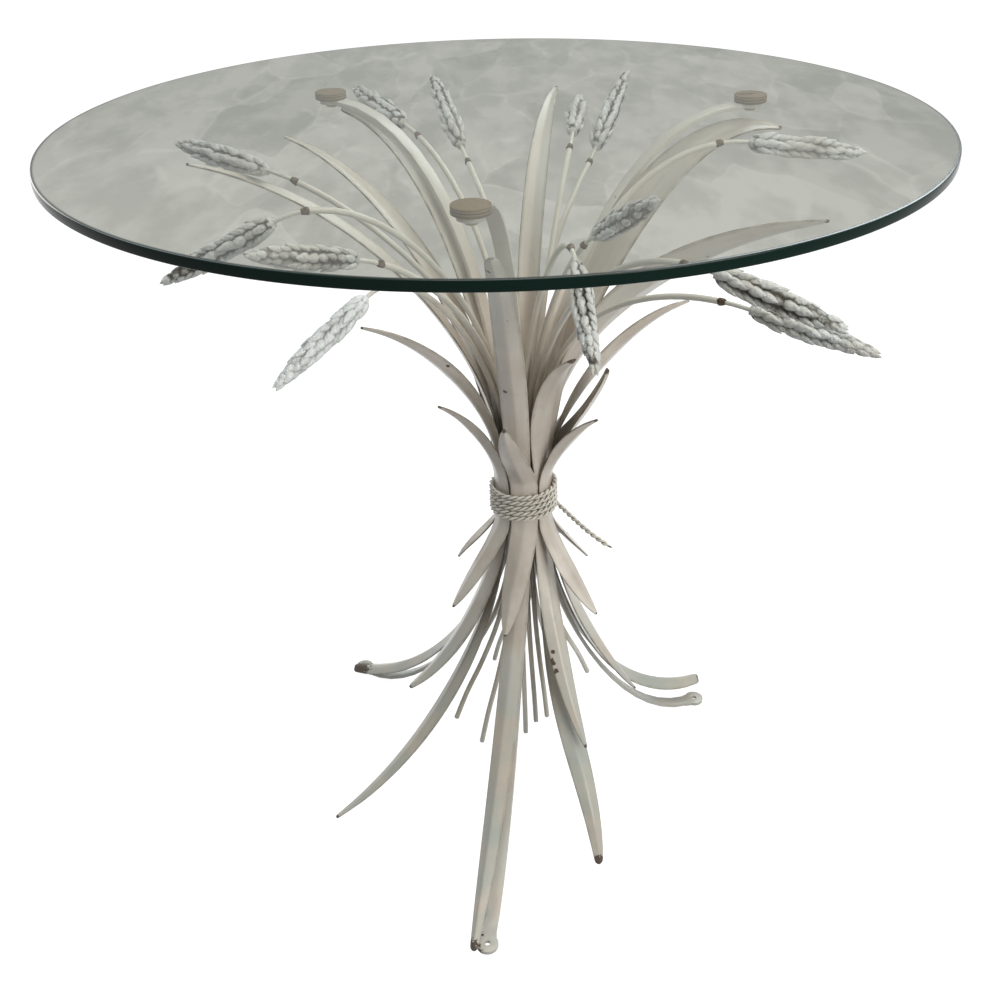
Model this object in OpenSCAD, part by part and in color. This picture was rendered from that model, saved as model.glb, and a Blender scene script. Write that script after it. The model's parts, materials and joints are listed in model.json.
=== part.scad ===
// Wheat sheaf coffee table: a round glass top on a sheaf of creased
// sheet steel leaves and wheat stalks, bound at the waist with wire rope.
// Millimetres. Origin on the floor under the centre of the glass, +Z up,
// +Y away from the front leg.

/* [Glass top] */
// Diameter of the glass
glass_d = 550; // [500:5:600]
// Thickness of the glass
glass_t = 6; // [5:0.5:8]
// Polished chamfer on the glass edge
glass_edge = 0.8; // [0.4:0.1:1.5]
// Height of the top face of the glass above the floor
table_h = 540; // [500:5:600]

/* [Sheaf] */
// Sheaf axis to the right of the glass centre
sheaf_x = 16; // [0:1:25]
// Sheaf axis behind the glass centre
sheaf_y = 28; // [0:1:30]
// Height of the middle of the binding
waist_h = 254; // [245:1:265]
// Height of the straight stretch inside the binding
waist_l = 34; // [28:1:40]
// Clearance between brazed pieces
gap = 0.3; // [0.2:0.05:0.5]

/* [Support bars] */
// Width of the flat bars
bar_w = 10; // [8:0.5:12]
// Thickness of the flat bars
bar_t = 3; // [2.5:0.25:4]
// Diameter of the round ends of the bars
lobe_d = 16; // [14:0.5:20]
// Diameter of the screw hole in each bar end
lobe_hole = 4.4; // [4:0.1:5]

/* [Pads and screws] */
// Diameter of the pads under the glass
pad_d = 22; // [18:0.5:28]
// Thickness of the pads
pad_t = 5; // [3:0.5:7]
// Diameter of the screw shanks
screw_d = 4; // [3:0.1:4.2]
// Diameter of the screw heads
screw_head_d = 7.5; // [6:0.25:9]
// Height of the screw heads
screw_head_h = 2.6; // [2:0.2:4]
// Length of screw shank inside the pad
screw_in_pad = 3; // [1.5:0.25:3.5]

/* [Leaves] */
// Thickness of the leaf sheet
leaf_t = 1.4; // [0.8:0.1:1.6]
// Depth of the crease as a share of the leaf width
crease = 0.2; // [0.14:0.01:0.26]

/* [Stalks and ears] */
// Diameter of the stalks
stalk_d = 4; // [3.4:0.1:4.4]
// Diameter of the wire stem of an ear
stem_d = 2.8; // [2:0.1:3.2]
// Diameter of an ear of wheat
ear_d = 13.5; // [11:0.5:15]
// Rows of grains along an ear
ear_rows = 9; // [6:1:11]

/* [Binding] */
// Diameter of the binding wire rope
rope_d = 3.9; // [3:0.1:4.2]
// Rise of the binding rope in one turn
rope_pitch = 4.5; // [4.5:0.1:5]
// Turns of binding rope
rope_turns = 5; // [3:1:6]

/* [Hidden] */
axis = [sheaf_x, sheaf_y, 0];
glass_z = table_h - glass_t;
lobe_z = glass_z - pad_t - bar_t;
waist_lo = waist_h - waist_l / 2;
waist_hi = waist_h + waist_l / 2;

// Layers of the waist, from the core outwards
stalk_count = 13;
stalk_step = 360 / stalk_count;
stalk_ring = (stalk_d + gap) / 2 / sin(stalk_step / 2);
core_r = stalk_ring - stalk_d / 2 - gap;
bar_in = stalk_ring + stalk_d / 2 + gap;
bar_out = norm([bar_in + bar_t, bar_w / 2]);
half_span = [0, 27, 27, 23];
flat_share = cos(14);
layer_3 = (bar_out + gap + leaf_t) / flat_share;
layer_2 = (layer_3 + gap + leaf_t) / flat_share;
layer_1 = (layer_2 + gap + leaf_t) / flat_share;
layers = [0, layer_1, layer_2, layer_3];
rope_r = layer_1 + gap + rope_d / 2;

// Each leaf: name, layer, place at the waist in degrees, then its upper and its
// lower half as [direction, reach, height, slope at tip, width, tip width, rise].
// The rise is how far the half stays upright, as a share of its span. An eighth
// number is the depth of the crease at the tip as a share of its width, and a
// ninth is how many degrees the half is twisted about its own line at the tip.
// Heights of upper halves count from the glass down where they are below zero,
// or else from the waist up; those of lower halves from the waist down where
// they are below zero, or else from the floor up.
leaves = [
    ["front_leaf", 2, -103, [-100, 112, -54, 45, 20, 9, 0.2], [-101.5, 223, 5, -25, 19, 6, 0.3, 0.3, 20]],
    ["front_right_leaf", 2, -37, [-56, 60, 132, 30, 25, 9, 0.15], [-65, 104, -173, -40, 17, 2, 0.25]],
    ["back_right_leaf", 2, 20, [10, 123, 144, 10, 18, 2, 0.2, 0.2, 58], [-6, 92, -186, -50, 21, 2, 0.2]],
    ["inner_right_leaf", 2, 80, [60, 112, 164, 30, 15, 2, 0.45], [85, 75, -144, -45, 16, 2, 0.2]],
    ["left_leaf", 2, 138, [143, 155, -12, 5, 23, 9, 0.26], [147, 189, 7, -12, 20, 12, 0.27, 0.3, -8]],
    ["broad_left_leaf", 2, 200, [205, 118, 159, 20, 17, 2, 0.32, 0.2, -32], [195, 99, -166, -30, 23, 5, 0.2]],
    ["front_short_leaf", 1, -90, [-104, 58, 84, 70, 19, 2, 0.15], [-108, 54, -97, -50, 20, 2, 0.15]],
    ["right_short_leaf", 1, -30, [-34, 63, 79, 30, 16, 2, 0.15, 0.2, 24], [-39, 70, -83, -40, 18, 2, 0.15]],
    ["cupped_leaf", 1, 30, [-12, 62, 108, 70, 21, 12, 0.15], [32, 62, -80, -50, 14, 2, 0.15]],
    ["back_short_leaf", 1, 90, [95, 66, 90, 50, 19, 2, 0.15], [66, 98, -94, -30, 14, 2, 0.15]],
    ["back_left_leaf", 1, 150, [152, 189, -30, 10, 20, 2, 0.3], [172, 53, -61, -60, 14, 2, 0.15]],
    ["left_short_leaf", 1, 210, [210, 69, 92, 30, 15, 2, 0.2, 0.2, -20], [207, 64, -84, -50, 18, 2, 0.15]],
    ["broad_right_leaf", 3, -25, [-20, 201, -50, 10, 30, 2, 0.45, 0.2, 45], [-69.5, 149, 3, -75, 19, 6, 0.64]],
    ["right_leaf", 3, 33, [18, 193, -25, -20, 30, 3, 0.3, 0.2, -30], [22, 170, 16, 5, 20, 12, 0.25, 0.6]],
    ["back_leaf", 3, 83, [79, 171, -17, 0, 16, 3, 0.5], [90, 70, -164, -50, 16, 2, 0.3]],
    ["long_left_leaf", 3, 189, [180, 218, -24, 10, 20, 2, 0.36], [208, 178, 2, -20, 16, 3, 0.3]]
];

// Each support bar: name, direction of its leg, reach of its pad and of its foot
bars = [
    ["front_bar", -99.3, 179, 213],
    ["right_bar", 19, 169, 162],
    ["left_bar", 144, 163, 186]
];

// Each stalk: number, foot of the rod as [direction, reach, depth below the
// waist], base of the ear as [direction, reach, depth below the glass], ear tip
// the same way, and the rise of the upper half.
stalks = [
    [1, [-92, 42, 204], [-71, 97, 64], [-76, 161, 105], 0.55],
    [2, [-78, 35, 199], [-58, 85, 54], [-61, 151, 15], 0.4],
    [3, [-56, 30, 202], [-53, 178, 54], [-47, 251, 72], 0.53],
    [4, [-28, 36, 144], [-43, 182, 84], [-41, 259, 93], 0.6],
    [5, [0, 52, 176], [8, 156, 24], [6, 233, 34], 0.6],
    [6, [40, 45, 164], [64, 92, 30], [70, 140, 19], 0.5],
    [7, [66, 50, 184], [61, 122, 47], [65, 210, 12], 0.7],
    [8, [94, 55, 174], [109, 125, 47], [108, 205, 12], 0.7],
    [9, [122, 50, 194], [128, 132, 26], [126, 206, 14], 0.6],
    [10, [152, 55, 179], [180, 165, 29], [170, 236, 20], 0.45],
    [11, [177, 60, 184], [212, 174, 34], [203, 236, 69], 0.5],
    [12, [214, 70, 189], [223, 133, 84], [223, 203, 119], 0.38],
    [13, [234, 64, 204], [227, 145, 54], [226, 219, 31], 0.45]
];
stalk_first = -110;

leaf_names = [for (l = leaves) l[0]];
bar_names = [for (b = bars) b[0]];
stalk_names = [for (s = stalks) str("stalk_", s[0])];
ear_names = [for (s = stalks) str("ear_", s[0])];

paint = [0.84, 0.81, 0.76];

// Points and curves
function polar(a, r, z) = axis + [r * cos(a), r * sin(a), z];
function unit(v) = v / norm(v);
function bezier(p, t) = pow(1 - t, 3) * p[0] + 3 * pow(1 - t, 2) * t * p[1]
    + 3 * (1 - t) * t * t * p[2] + t * t * t * p[3];
function bezier_way(p, t) = unit(pow(1 - t, 2) * (p[1] - p[0])
    + 2 * (1 - t) * t * (p[2] - p[1]) + t * t * (p[3] - p[2]));
function ease(t) = t * t * (3 - 2 * t);
function mix(a, b, t) = a + (b - a) * t;

// A closed skin over rings of points that all have the same count. An end is
// closed by one face, or by the faces over its points that ends gives.
module skin(rings, ends = undef) {
    n = len(rings[0]);
    m = len(rings);
    sides = [for (i = [0:m - 2]) for (j = [0:n - 1]) for (k = [0, 1])
        let (a = i * n + j, b = i * n + (j + 1) % n)
        k == 0 ? [a, a + n, b] : [b, a + n, b + n]];
    caps = is_undef(ends) ? [[for (j = [0:n - 1]) j]] : ends;
    foot = caps;
    top = [for (c = caps) [for (j = [len(c) - 1:-1:0]) (m - 1) * n + c[j]]];
    polyhedron([for (r = rings) for (p = r) p], concat(foot, sides, top), convexity = 10);
}

// Leaves
function half_end(h, upper) = polar(h[0], h[1], upper
    ? h[2] + (h[2] < 0 ? glass_z : waist_h)
    : h[2] + (h[2] < 0 ? waist_h : 0));
function half_bezier(start, h, upper) =
    let (end = half_end(h, upper), size = norm(end - start), up = upper ? 1 : -1,
        way = [cos(h[0]) * cos(h[3]), sin(h[0]) * cos(h[3]), sin(h[3])])
    [start, start + [0, 0, up * size * h[6]], end - way * size * 0.36, end];
function leaf_width(h, u, waist_w) = u < 0.5
    ? h[5] + (h[4] - h[5]) * pow(sin(180 * u), 0.8)
    : mix(h[4], waist_w, ease(2 * u - 1));
function section(p, way, turn, w, d, twist = 0) =
    let (side = [-sin(turn), cos(turn), 0],
        flat = unit(side - (side * way) * way),
        out = cross(flat, way),
        x = cos(twist) * flat + sin(twist) * out,
        y = cos(twist) * out - sin(twist) * flat,
        tilt = atan(2 * d / w),
        inner = max(w / 6, w / 2 - leaf_t * sin(tilt)))
    [for (q = [[-w / 2, 0], [0, d], [w / 2, 0], [inner, -leaf_t * cos(tilt)],
        [0, d - leaf_t / cos(tilt)], [-inner, -leaf_t * cos(tilt)]])
        p + q[0] * x + q[1] * y];
function half_rings(start, h, slot, waist_w, waist_d, steps, upper) =
    let (b = half_bezier(start, h, upper))
    [for (i = [1:steps]) let (t = i / steps, u = 1 - t,
        w = leaf_width(h, u, waist_w),
        tip_crease = is_undef(h[7]) ? crease : h[7],
        d = w * mix(mix(tip_crease, crease, ease(min(1, 2 * u))), waist_d / waist_w,
            ease(max(0, 2 * u - 1))),
        way = bezier_way(b, t) * (upper ? 1 : -1))
        section(bezier(b, t), way, mix(slot, h[0], ease(min(1, 1.5 * t))), w, d,
            (is_undef(h[8]) ? 0 : h[8]) * ease(min(1, 1.5 * t)))];
function reversed(v) = [for (i = [len(v) - 1:-1:0]) v[i]];

// The two wings of a leaf's section, as faces over its points
wings = [[0, 1, 4, 5], [1, 2, 3, 4]];
module leaf(l) {
    r = layers[l[1]];
    slot = l[2];
    waist_w = 2 * r * sin(half_span[l[1]]);
    waist_d = r * (1 - cos(half_span[l[1]]));
    low = polar(slot, r - waist_d, waist_lo);
    high = polar(slot, r - waist_d, waist_hi);
    middle = [for (p = [low, high]) section(p, [0, 0, 1], slot, waist_w, waist_d)];
    color(paint)
        skin(concat(reversed(half_rings(low, l[4], slot, waist_w, waist_d, 14, false)),
            middle, half_rings(high, l[3], slot, waist_w, waist_d, 14, true)), wings);
}

// Support bars: a bent flat in the upright plane of its leg
bar_rise = 0.3;
function bar_half(z0, z1, reach, flat) =
    let (r0 = bar_in + bar_t / 2, r1 = reach - lobe_d / 2,
        size = norm([r1 - r0, z1 - z0]), up = sign(z1 - z0))
    [[r0, z0], [r0, z0 + up * size * bar_rise], [r1 - size * flat, z1], [r1, z1]];
function flat_curve(b, steps, from) = [for (i = [from:steps]) let (t = i / steps)
    [bezier(b, t), bezier_way(b, t)]];
// The round end of a bar, with a neck that widens to meet its circle
module lobe() {
    cylinder(d = lobe_d, h = bar_t, $fn = 48);
    linear_extrude(bar_t) polygon([[-0.7 * lobe_d, bar_w / 2], [-0.7 * lobe_d, -bar_w / 2],
        [-0.29 * lobe_d, -0.39 * lobe_d], [-0.29 * lobe_d, 0.39 * lobe_d]]);
}
module bar(b) {
    hi = flat_curve(bar_half(waist_hi, lobe_z + bar_t / 2, b[2], 0.36), 16, 0);
    lo = flat_curve(bar_half(waist_lo, bar_t / 2, b[3], 0.26), 16, 0);
    line = concat([[[b[3], bar_t / 2], [-1, 0]]], [for (s = reversed(lo)) [s[0], -s[1]]],
        hi, [[[b[2], lobe_z + bar_t / 2], [1, 0]]]);
    outline = concat([for (s = line) s[0] + bar_t / 2 * [s[1][1], -s[1][0]]],
        [for (s = reversed(line)) s[0] - bar_t / 2 * [s[1][1], -s[1][0]]]);
    color(paint) translate(axis) rotate(b[1]) difference() {
        union() {
            rotate([90, 0, 0]) linear_extrude(bar_w, center = true) polygon(outline);
            translate([b[2], 0, lobe_z]) lobe();
            translate([b[3], 0, 0]) lobe();
        }
        translate([b[2], 0, lobe_z - 1]) cylinder(d = lobe_hole, h = bar_t + 2, $fn = 32);
        translate([b[3], 0, -1]) cylinder(d = lobe_hole, h = bar_t + 2, $fn = 32);
    }
}

// Stalks and ears
ear_from = 0.9;
function stalk_low(s, a) =
    let (start = polar(a, stalk_ring, waist_lo), end = polar(s[1][0], s[1][1], waist_h - s[1][2]),
        size = norm(end - start))
    [start, start - [0, 0, size * 0.6], end + 0.2 * (start - end), end];
function ear_base(s) = polar(s[2][0], s[2][1], glass_z - s[2][2]);
function ear_tip(s) = polar(s[3][0], s[3][1], glass_z - s[3][2]);
function stalk_high(s, a) =
    let (start = polar(a, stalk_ring, waist_hi), end = ear_base(s), size = norm(end - start))
    [start, start + [0, 0, size * s[4]],
        end - unit(ear_tip(s) - end) * size * 0.25, end];
function disc(p, way, r, n, turn) =
    let (side = [-sin(turn), cos(turn), 0],
        x = unit(side - (side * way) * way), y = cross(x, way))
    [for (j = [0:n - 1]) p + r * (cos(360 * j / n) * x - sin(360 * j / n) * y)];

module stalk(s, a) {
    lo = stalk_low(s, a);
    hi = stalk_high(s, a);
    color(paint) skin(concat(
        [for (i = [5:-1:0]) disc(bezier(lo, i / 5), -bezier_way(lo, i / 5), stalk_d / 2, 6, a)],
        [for (i = [0:14]) let (t = ear_from * i / 14)
            disc(bezier(hi, t), bezier_way(hi, t), stalk_d / 2, 6, a)]));
}

// One ear: a wire stem, then rows of grains whose plump ends overlap the
// next row, with every other column set half a row further on
ear_sides = 8;
function ear_size(u) = ear_d / 2 * (1.1 - 0.35 * u) * pow(sin(180 * min(1, 0.12 + 0.86 * u)), 0.45);
function grain_ring(base, way, length, row, plump, turn) =
    let (side = [-sin(turn), cos(turn), 0],
        x = unit(side - (side * way) * way), y = cross(x, way))
    [for (j = [0:ear_sides - 1]) let (
        u = (row + (plump ? 0.75 : 0) + (j % 2) * 0.5 + 0.2) / (ear_rows + 0.6),
        r = ear_size(u) * (plump ? 1 : 0.74),
        a = 360 * (j + 0.5) / ear_sides)
        base + u * length * way + r * (cos(a) * x - sin(a) * y)];
module ear(s, a) {
    hi = stalk_high(s, a);
    base = ear_base(s);
    way = unit(ear_tip(s) - base);
    length = norm(ear_tip(s) - base);
    turn = s[2][0];
    color(paint) skin(concat(
        [for (i = [0:4]) let (t = mix(ear_from, 1, i / 4))
            disc(bezier(hi, t), bezier_way(hi, t), stem_d / 2, ear_sides, turn)],
        [for (row = [0:ear_rows - 1]) for (plump = [false, true])
            grain_ring(base, way, length, row, plump, turn)],
        [disc(ear_tip(s), way, 1, ear_sides, turn)]));
}

// Waist
module core_post() {
    color(paint) translate(axis + [0, 0, waist_lo]) cylinder(r = core_r, h = waist_l, $fn = 48);
}

// The binding rope is one unbroken line: the loose tail, then the turns
rope_loop = 24;
rope_run = rope_loop * rope_turns;
rope_start = 30;
tail_steps = 14;
function rope_point(i) = polar(rope_start + 360 * i / rope_loop, rope_r,
    waist_h + rope_pitch * (i / rope_loop - rope_turns / 2));
tail = [polar(-32, 76, waist_h - 25), polar(-32, 52, waist_h - 18),
    rope_point(0) + 20 * [sin(rope_start), -cos(rope_start), 0], rope_point(0)];
rope_line = concat([for (i = [0:tail_steps - 1]) bezier(tail, i / tail_steps)],
    [for (i = [0:rope_run]) rope_point(i)]);
rope_gap = min([for (i = [0:len(rope_line) - 1]) for (j = [i + rope_loop / 2:len(rope_line) - 1])
    norm(rope_line[i] - rope_line[j])]) - rope_d;
module binding_rope() {
    n = len(rope_line);
    color(paint) skin([for (i = [0:n - 1]) let (
        way = unit(rope_line[min(n - 1, i + 1)] - rope_line[max(0, i - 1)]),
        x = unit([0, 0, 1] - way[2] * way), y = cross(way, x),
        r = rope_d / 2 * (i == 0 ? 0.3 : i == 1 ? 0.8 : 1))
        [for (j = [0:5]) rope_line[i] + r * (cos(60 * j) * y - sin(60 * j) * x)]]);
}

// Glass, pads and screws
module glass_top() {
    r = glass_d / 2;
    color([0.62, 0.72, 0.68, 0.4]) translate([0, 0, glass_z]) rotate_extrude($fn = 180)
        polygon([[0, 0], [r - glass_edge, 0], [r, glass_edge], [r, glass_t - glass_edge],
            [r - glass_edge, glass_t], [0, glass_t]]);
}
module at_pads() {
    for (b = bars) translate(polar(b[1], b[2], 0)) children();
}
module glass_pads() {
    color([0.75, 0.66, 0.5]) at_pads() translate([0, 0, glass_z - pad_t]) difference() {
        cylinder(d = pad_d, h = pad_t, $fn = 48);
        translate([0, 0, -1]) cylinder(d = screw_d + 0.2, h = screw_in_pad + 1.2, $fn = 32);
    }
}
module pad_screws() {
    color([0.6, 0.55, 0.45]) at_pads() {
        translate([0, 0, lobe_z - screw_head_h])
            cylinder(d = screw_head_d, h = screw_head_h, $fn = 32);
        translate([0, 0, lobe_z - 0.5])
            cylinder(d = screw_d, h = bar_t + screw_in_pad + 0.5, $fn = 32);
    }
}

glass_top();
glass_pads();
pad_screws();
core_post();
union() {
    echo("Least gap of the binding rope to itself, mm", rope_gap);
    binding_rope();
}
for (b = bars) bar(b);
for (l = leaves) leaf(l);
for (i = [0:stalk_count - 1]) {
    a = stalk_first + i * stalk_step;
    stalk(stalks[i], a);
    ear(stalks[i], a);
}
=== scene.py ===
# Wheat sheaf coffee table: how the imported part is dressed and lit.
# Metres, in the frame of the CAD: floor at z = 0 under the centre of the glass, +Z up.
import json
import math

import bpy
import bmesh
import numpy as np
from mathutils import Matrix, Vector

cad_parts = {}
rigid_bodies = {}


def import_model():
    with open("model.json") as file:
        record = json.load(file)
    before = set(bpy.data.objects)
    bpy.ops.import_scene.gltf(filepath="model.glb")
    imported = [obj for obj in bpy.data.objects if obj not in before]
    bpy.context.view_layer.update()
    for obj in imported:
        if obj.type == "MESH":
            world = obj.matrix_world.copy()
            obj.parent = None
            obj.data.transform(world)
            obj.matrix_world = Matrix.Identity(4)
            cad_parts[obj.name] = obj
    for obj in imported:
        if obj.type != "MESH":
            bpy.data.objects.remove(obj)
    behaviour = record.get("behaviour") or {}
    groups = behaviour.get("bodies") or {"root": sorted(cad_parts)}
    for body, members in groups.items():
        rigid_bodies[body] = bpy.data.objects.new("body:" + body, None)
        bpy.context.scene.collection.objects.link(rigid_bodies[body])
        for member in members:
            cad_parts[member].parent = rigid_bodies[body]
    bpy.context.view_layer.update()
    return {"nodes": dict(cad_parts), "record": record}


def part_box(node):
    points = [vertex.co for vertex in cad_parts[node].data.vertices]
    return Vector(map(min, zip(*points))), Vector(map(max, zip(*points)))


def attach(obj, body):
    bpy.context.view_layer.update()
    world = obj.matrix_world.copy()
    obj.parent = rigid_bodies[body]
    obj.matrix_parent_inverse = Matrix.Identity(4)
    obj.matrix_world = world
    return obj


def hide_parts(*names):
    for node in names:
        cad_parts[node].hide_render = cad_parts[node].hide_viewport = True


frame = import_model()
nodes = frame["nodes"]

# The pane's radius and heights, the rounding of its edge, and the height of the binding
GLASS_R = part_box("glass_top")[1].x
GLASS_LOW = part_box("glass_top")[0].z
GLASS_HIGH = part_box("glass_top")[1].z
ARRIS = 0.0009
WAIST = (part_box("core_post")[0].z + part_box("core_post")[1].z) / 2
STALKS = 13


# Camera

# Fitted to the ellipse of the glass, the pads, the feet and the binding in the photo
EYE = (0, -0.75918, 0.722325)
YAW, PITCH, ROLL = -0.0054, 0.5397, -0.0263
FOCAL_PIXELS, PHOTO_PIXELS = 1200, 995
SENSOR_WIDTH = 36


def place_camera():
    ahead = Vector((math.sin(YAW) * math.cos(PITCH), math.cos(YAW) * math.cos(PITCH),
                    -math.sin(PITCH)))
    level = Vector((math.cos(YAW), -math.sin(YAW), 0))
    upright = level.cross(ahead)
    right = math.cos(ROLL) * level + math.sin(ROLL) * upright
    up = -math.sin(ROLL) * level + math.cos(ROLL) * upright
    data = bpy.data.cameras.new("camera")
    data.sensor_width = SENSOR_WIDTH
    data.lens = FOCAL_PIXELS * SENSOR_WIDTH / PHOTO_PIXELS
    data.clip_end = 60
    camera = bpy.data.objects.new("camera", data)
    turn = Matrix((right, up, -ahead)).transposed().to_4x4()
    camera.matrix_world = Matrix.Translation(EYE) @ turn
    bpy.context.scene.collection.objects.link(camera)
    bpy.context.scene.camera = camera


# Shader and node writing

class Value:
    """A socket that takes part in sums: an expression on values adds its Math nodes."""

    def __init__(self, tree, socket):
        self.tree, self.socket = tree, socket

    def math(self, operation, a, b=0.0):
        return self.tree.node("ShaderNodeMath", {"operation": operation}, {0: a, 1: b})

    def __add__(self, other):
        return self.math("ADD", self, other)

    def __radd__(self, other):
        return self.math("ADD", other, self)

    def __sub__(self, other):
        return self.math("SUBTRACT", self, other)

    def __rsub__(self, other):
        return self.math("SUBTRACT", other, self)

    def __mul__(self, other):
        return self.math("MULTIPLY", self, other)

    def __rmul__(self, other):
        return self.math("MULTIPLY", other, self)

    def __truediv__(self, other):
        return self.math("DIVIDE", self, other)

    def __rtruediv__(self, other):
        return self.math("DIVIDE", other, self)

    def __gt__(self, other):
        return self.math("GREATER_THAN", self, other)

    def __pow__(self, other):
        return self.math("POWER", self, other)

    def does(self, operation, other=0.0):
        return self.math(operation, self, other)


class Tree:
    """A node tree that is written as expressions. A node comes from node(): its type, then its
    settings, then the values or links of its sockets."""

    def __init__(self, tree):
        self.tree = tree

    def node(self, kind, settings=None, sockets=None, out=0):
        made = self.tree.nodes.new(kind)
        for name, value in (settings or {}).items():
            setattr(made, name, value)
        for name, value in (sockets or {}).items():
            if isinstance(value, Value):
                self.tree.links.new(value.socket, made.inputs[name])
            else:
                made.inputs[name].default_value = value
        return Value(self, made.outputs[out]) if len(made.outputs) else made

    def more(self, value, out):
        """Another output of the node that value comes from."""
        return Value(self, value.socket.node.outputs[out])

    def vectors(self, operation, *values, out=0):
        """A Vector Math node on values."""
        return self.node("ShaderNodeVectorMath", {"operation": operation},
                         dict(enumerate(values)), out)

    def colour(self, mask, a, b):
        """Colour a where mask is 0 and b where it is 1."""
        a = (*a, 1) if isinstance(a, tuple) else a
        b = (*b, 1) if isinstance(b, tuple) else b
        return self.node("ShaderNodeMix", {"data_type": "RGBA"}, {0: mask, 6: a, 7: b}, 2)


class Finish(Tree):
    """A material."""

    def __init__(self, name):
        self.material = bpy.data.materials.new(name)
        self.material.use_nodes = True
        super().__init__(self.material.node_tree)
        self.tree.nodes.clear()
        self.place = self.node("ShaderNodeTexCoord", out="Object")

    def noise(self, size, detail=2.0, rough=0.55):
        """Cloudy values from 0 to 1, with clouds of about size metres."""
        return self.node("ShaderNodeTexNoise", {},
                         {"Vector": self.place, "Scale": 1 / size, "Detail": detail,
                          "Roughness": rough})

    def cells(self, feature, size, place=None, out=0):
        """A pattern of cells of about size metres."""
        return self.node("ShaderNodeTexVoronoi", {"feature": feature},
                         {"Vector": place or self.place, "Scale": 1 / size}, out)

    def step(self, value, low, high):
        """0 below low, 1 above high and smooth between them."""
        return self.node("ShaderNodeMapRange", {"interpolation_type": "SMOOTHSTEP"},
                         {0: value, 1: low, 2: high, 3: 0.0, 4: 1.0})

    def attribute(self, name):
        return self.node("ShaderNodeAttribute", {"attribute_name": name}, out="Fac")

    def bump(self, height, depth):
        return self.node("ShaderNodeBump", {},
                         {"Height": height, "Strength": 1.0, "Distance": depth})

    def mix(self, mask, a, b):
        """Shader a where mask is 0 and b where it is 1."""
        return self.node("ShaderNodeMixShader", {}, {0: mask, 1: a, 2: b})

    def principled(self, sockets):
        return self.end(self.node("ShaderNodeBsdfPrincipled", {}, sockets))

    def end(self, shader):
        self.node("ShaderNodeOutputMaterial", {}, {"Surface": shader})
        return self.material


# Materials

RUST = (0.045, 0.026, 0.017)
OLD_RUST = (0.095, 0.07, 0.048)
# Brown for dust with painted shade, near the binding and along the leaf rims
GRIME_AND_SHADE = (0.16, 0.13, 0.095)
EDGE_GRIME_AND_SHADE = (0.27, 0.24, 0.18)
# Paint tones as (higher up, near the floor, stained). The change from the first to the second is
# painted light: cooler near the floor, and on the rods lighter there.
LEAF_TONES_AND_LIGHT = (0.69, 0.63, 0.555), (0.67, 0.665, 0.62), (0.56, 0.50, 0.425)
ROD_TONES_AND_LIGHT = (0.69, 0.64, 0.56), (0.83, 0.80, 0.73), (0.56, 0.51, 0.43)
BAR_TONES_AND_LIGHT = (0.67, 0.62, 0.55), (0.68, 0.675, 0.63), (0.55, 0.50, 0.43)
# Bare spots that the photo shows, as (place, radius): a cluster on the front right leaf, two dots
# on the upper leaves, the end of the left foot and two leaf ends on the floor
BARE_SPOTS = (((0.0363, -0.0219, 0.1396), 0.0020), ((0.0354, -0.0259, 0.1330), 0.0028),
              ((0.0383, -0.0298, 0.1272), 0.0022), ((0.0034, -0.0104, 0.3586), 0.0018),
              ((-0.0355, -0.0014, 0.3751), 0.0015), ((-0.1403, 0.1271, 0.0107), 0.0170),
              ((0.0667, -0.1105, 0.0040), 0.0080), ((-0.0305, -0.1885, 0.0040), 0.0080))


def tint(colour, *share):
    return tuple(c * s for c, s in zip(colour, share))


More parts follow.
